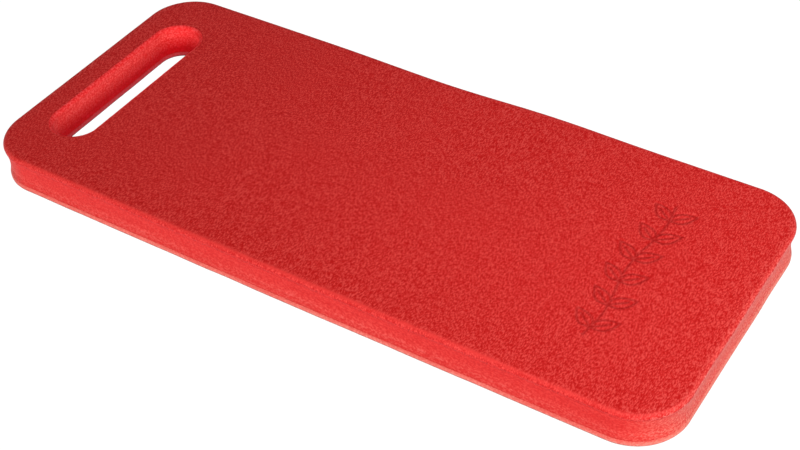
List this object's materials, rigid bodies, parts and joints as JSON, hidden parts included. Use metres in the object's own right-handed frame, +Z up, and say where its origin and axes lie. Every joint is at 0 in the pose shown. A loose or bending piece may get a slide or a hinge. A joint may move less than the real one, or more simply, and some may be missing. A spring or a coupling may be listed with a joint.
{
  "type": "kneeling pad",
  "caption": "Flat rounded-rectangle foam kneeling pad with a rounded hand slot through one end, laminated from foam sheets.",
  "frame": {"origin": "middle of the resting face's bounding box, at the bottom of the pad", "axes": "+Z up out of the kneeling face; +X along the length, away from the hand slot, so the slot is at the -X end; +Y across the width"},
  "size_m": [0.484, 0.208, 0.025],
  "materials": {
    "kneeling_skin": "matte, fine pebbled foam skin",
    "core_foam": "matte cut closed-cell foam",
    "base_skin": "matte smooth foam skin",
    "adhesive": "satin flexible adhesive film"
  },
  "bodies": {
    "root": {"top_skin": "kneeling_skin", "top_bond": "adhesive", "upper_core": "core_foam", "core_bond": "adhesive", "lower_core": "core_foam", "bottom_bond": "adhesive", "bottom_skin": "base_skin"}
  },
  "joints": []
}
